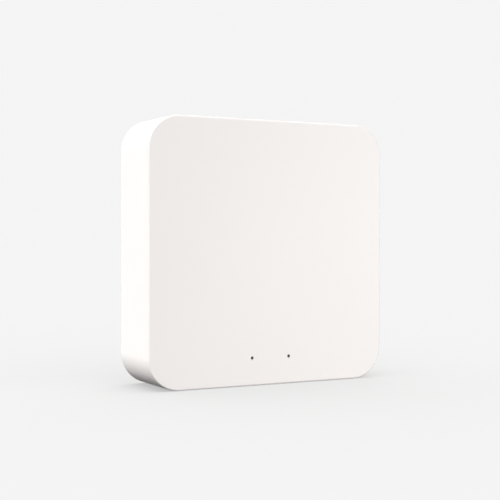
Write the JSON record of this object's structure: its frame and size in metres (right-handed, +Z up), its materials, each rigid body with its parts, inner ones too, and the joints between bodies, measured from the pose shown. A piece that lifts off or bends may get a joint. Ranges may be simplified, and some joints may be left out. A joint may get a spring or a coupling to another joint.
{
  "type": "smart home hub",
  "caption": "Square white smart home hub that stands on edge, with pinhole status lights, a network jack, a power socket and a sprung reset button.",
  "frame": {"origin": "middle of the footprint, on the plane that the hub's lower edge stands on", "axes": "+Z up, towards the edge with the sockets; the face looks along -Y and the feet of the rear cover along +Y; +X is to the right when facing the face"},
  "size_m": [0.09, 0.025, 0.09],
  "materials": {
    "case_plastic": "fine moulded matt",
    "button_plastic": "fine moulded matt",
    "foot_rubber": "matt",
    "screw_steel": "zinc plated",
    "label_film": "satin film, blank",
    "circuit_board": "solder mask",
    "led_lens": "clear epoxy",
    "light_guide": "smoked, polished",
    "shade_rubber": "matt",
    "socket_steel": "tinned",
    "socket_plastic": "moulded",
    "contact_gold": "gold plated",
    "switch_plastic": "moulded",
    "chip_plastic": "moulded epoxy",
    "capacitor_can": "drawn",
    "inductor_ferrite": "matt",
    "component_steel": "tinned",
    "antenna_brass": "stamped"
  },
  "bodies": {
    "hub": {"front_cover": "case_plastic", "rear_cover": "case_plastic", "foot_1": "foot_rubber", "foot_2": "foot_rubber", "foot_3": "foot_rubber", "foot_4": "foot_rubber", "case_screw_1": "screw_steel", "case_screw_2": "screw_steel", "case_screw_3": "screw_steel", "case_screw_4": "screw_steel", "board_screw_1": "screw_steel", "board_screw_2": "screw_steel", "board_screw_3": "screw_steel", "board_screw_4": "screw_steel", "rating_label": "label_film", "main_board": "circuit_board", "radio_board": "circuit_board", "status_led_left": "led_lens", "status_led_right": "led_lens", "light_guide_left": "light_guide", "light_guide_right": "light_guide", "light_shade_left": "shade_rubber", "light_shade_right": "shade_rubber", "lan_jack_shield": "socket_steel", "usb_shell": "socket_steel", "lan_jack_insert": "socket_plastic", "usb_tongue": "socket_plastic", "lan_contact_1": "contact_gold", "lan_contact_2": "contact_gold", "lan_contact_3": "contact_gold", "lan_contact_4": "contact_gold", "lan_contact_5": "contact_gold", "lan_contact_6": "contact_gold", "lan_contact_7": "contact_gold", "lan_contact_8": "contact_gold", "reset_switch_body": "switch_plastic", "processor_chip": "chip_plastic", "memory_chip": "chip_plastic", "flash_chip": "chip_plastic", "lan_transformer": "chip_plastic", "power_chip": "chip_plastic", "power_capacitor_1": "capacitor_can", "power_capacitor_2": "capacitor_can", "power_inductor": "inductor_ferrite", "crystal": "component_steel", "radio_shield": "component_steel", "antenna": "antenna_brass"},
    "reset_button": {"reset_button": "button_plastic", "reset_switch_plunger": "switch_plastic"}
  },
  "joints": [
    {"name": "reset_press", "type": "slide", "parent": "hub", "child": "reset_button", "axis": [0, 0, -1], "range_m": [0, 0.0005], "stiffness_N_per_m": 4000}
  ]
}
